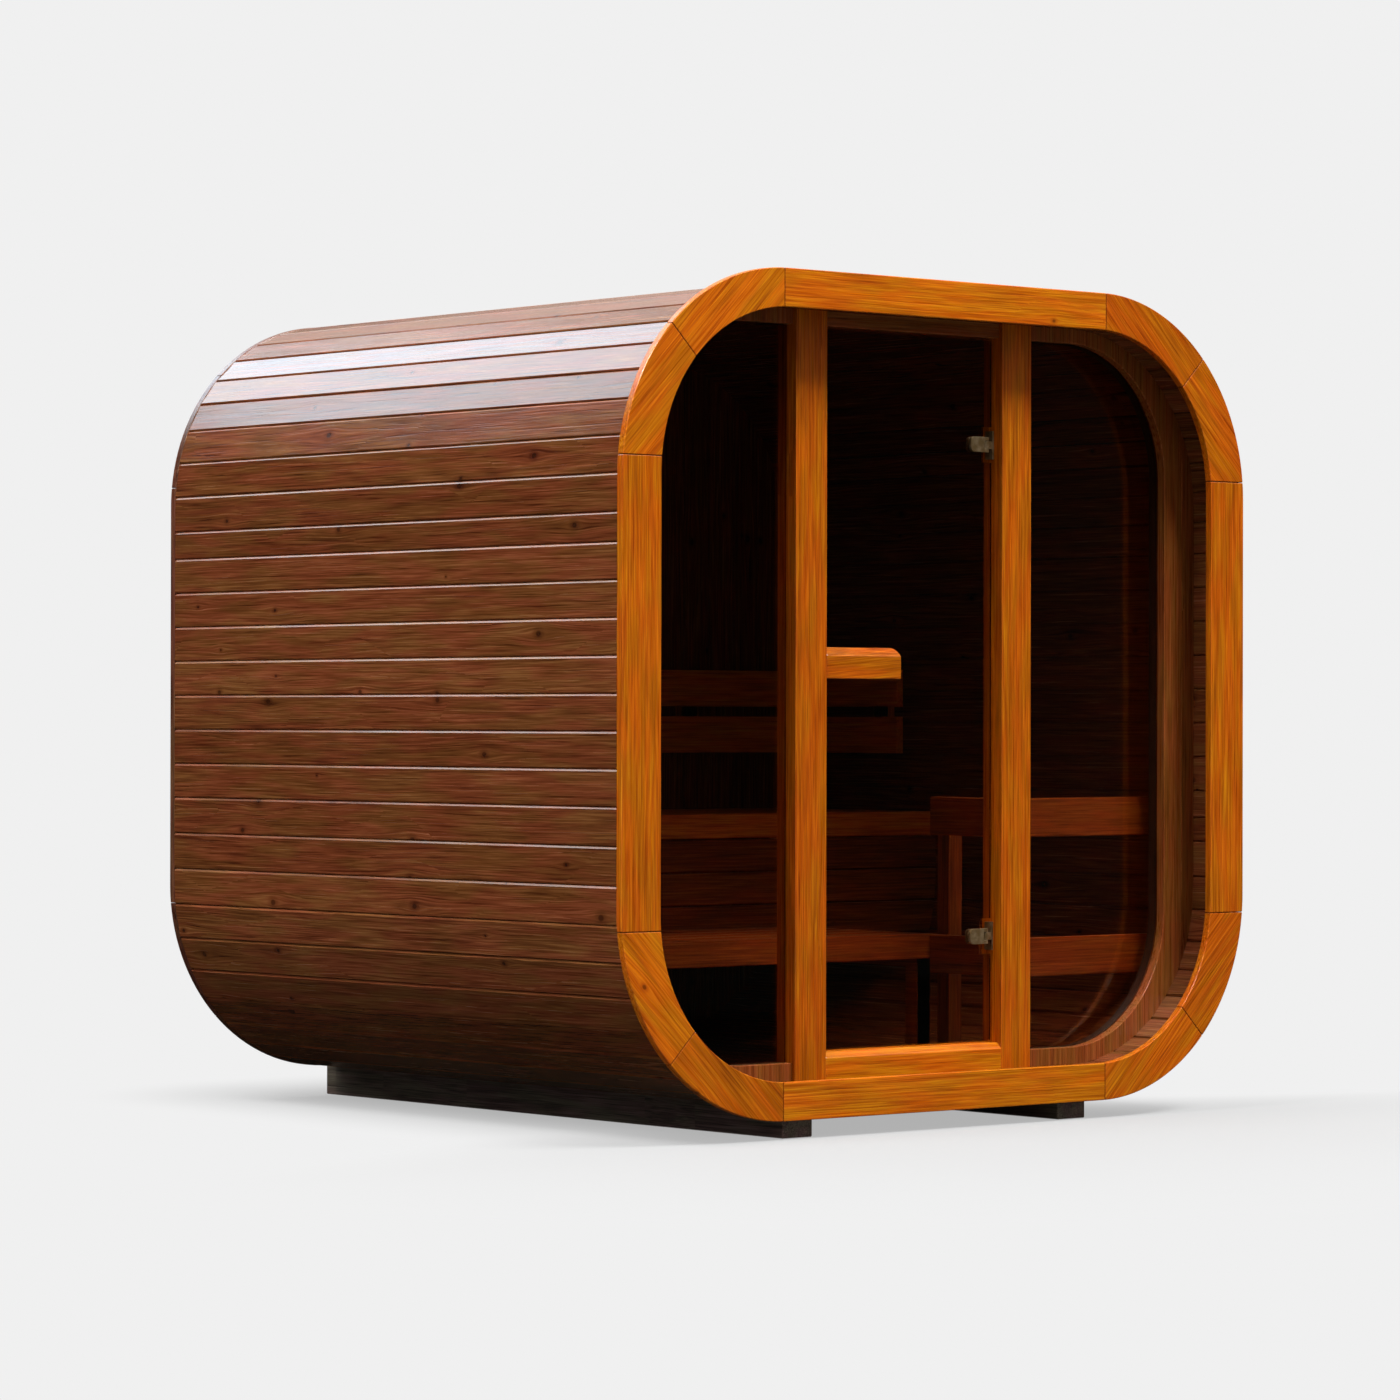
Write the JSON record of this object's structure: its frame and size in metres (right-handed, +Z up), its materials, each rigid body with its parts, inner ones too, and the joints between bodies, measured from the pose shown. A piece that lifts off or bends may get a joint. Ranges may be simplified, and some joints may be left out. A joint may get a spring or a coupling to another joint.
{
  "type": "cube sauna",
  "caption": "Walk-in outdoor sauna shaped as a cube with rounded corners: horizontal staves, a wooden ring round a recessed glass front, a hinged glass door and benches inside.",
  "frame": {"origin": "on the ground, at the middle of the sauna's footprint over its rings and runners", "axes": "+Z up, the glazed front faces -Y, +X to the right of someone who looks at the front"},
  "size_m": [2.06, 1.87, 2.06],
  "materials": {
    "ring_wood": "oiled orange-brown softwood with a clear grain",
    "stave_wood": "oiled dark brown heat-treated softwood",
    "frame_wood": "oiled brown softwood",
    "rear_ring_wood": "oiled dark brown heat-treated softwood, a shade darker than the staves",
    "runner_wood": "near-black impregnated softwood",
    "bench_wood": "smooth orange-brown wood",
    "tinted_glass": "polished brown-tinted safety glass",
    "hinge_metal": "satin bronze-grey"
  },
  "bodies": {
    "cabin": {"runner_left": "runner_wood", "runner_right": "runner_wood", "wall_left": "stave_wood", "wall_right": "stave_wood", "roof": "stave_wood", "floor": "stave_wood", "corner_top_left": "stave_wood", "corner_top_right": "stave_wood", "corner_bottom_left": "stave_wood", "corner_bottom_right": "stave_wood", "ring_top": "ring_wood", "ring_bottom": "ring_wood", "ring_left": "ring_wood", "ring_right": "ring_wood", "ring_corner_top_left": "ring_wood", "ring_corner_top_right": "ring_wood", "ring_corner_bottom_left": "ring_wood", "ring_corner_bottom_right": "ring_wood", "rear_ring_top": "rear_ring_wood", "rear_ring_bottom": "rear_ring_wood", "rear_ring_left": "rear_ring_wood", "rear_ring_right": "rear_ring_wood", "back_wall": "stave_wood", "frame_left": "frame_wood", "frame_right": "frame_wood", "post_left": "ring_wood", "post_right": "ring_wood", "door_head": "frame_wood", "door_sill": "ring_wood", "glass_left": "tinted_glass", "glass_right": "tinted_glass", "hinge_plate_upper": "hinge_metal", "hinge_plate_lower": "hinge_metal", "upper_bench_seat": "bench_wood", "upper_bench_frame": "bench_wood", "bench_skirt": "bench_wood", "lower_bench_seat": "bench_wood", "lower_bench_frame": "bench_wood", "backrest_rear": "bench_wood", "backrest_right": "bench_wood", "guard_front": "bench_wood", "guard_side": "bench_wood", "guard_posts": "bench_wood"},
    "door": {"door_glass": "tinted_glass", "door_handle": "ring_wood", "hinge_clamp_upper": "hinge_metal", "hinge_clamp_lower": "hinge_metal"}
  },
  "joints": [
    {"name": "door_hinge", "type": "hinge", "parent": "cabin", "child": "door", "pos_m": [0.2675, -0.779, 1], "axis": [0, 0, 1], "range_deg": [0, 90]}
  ]
}
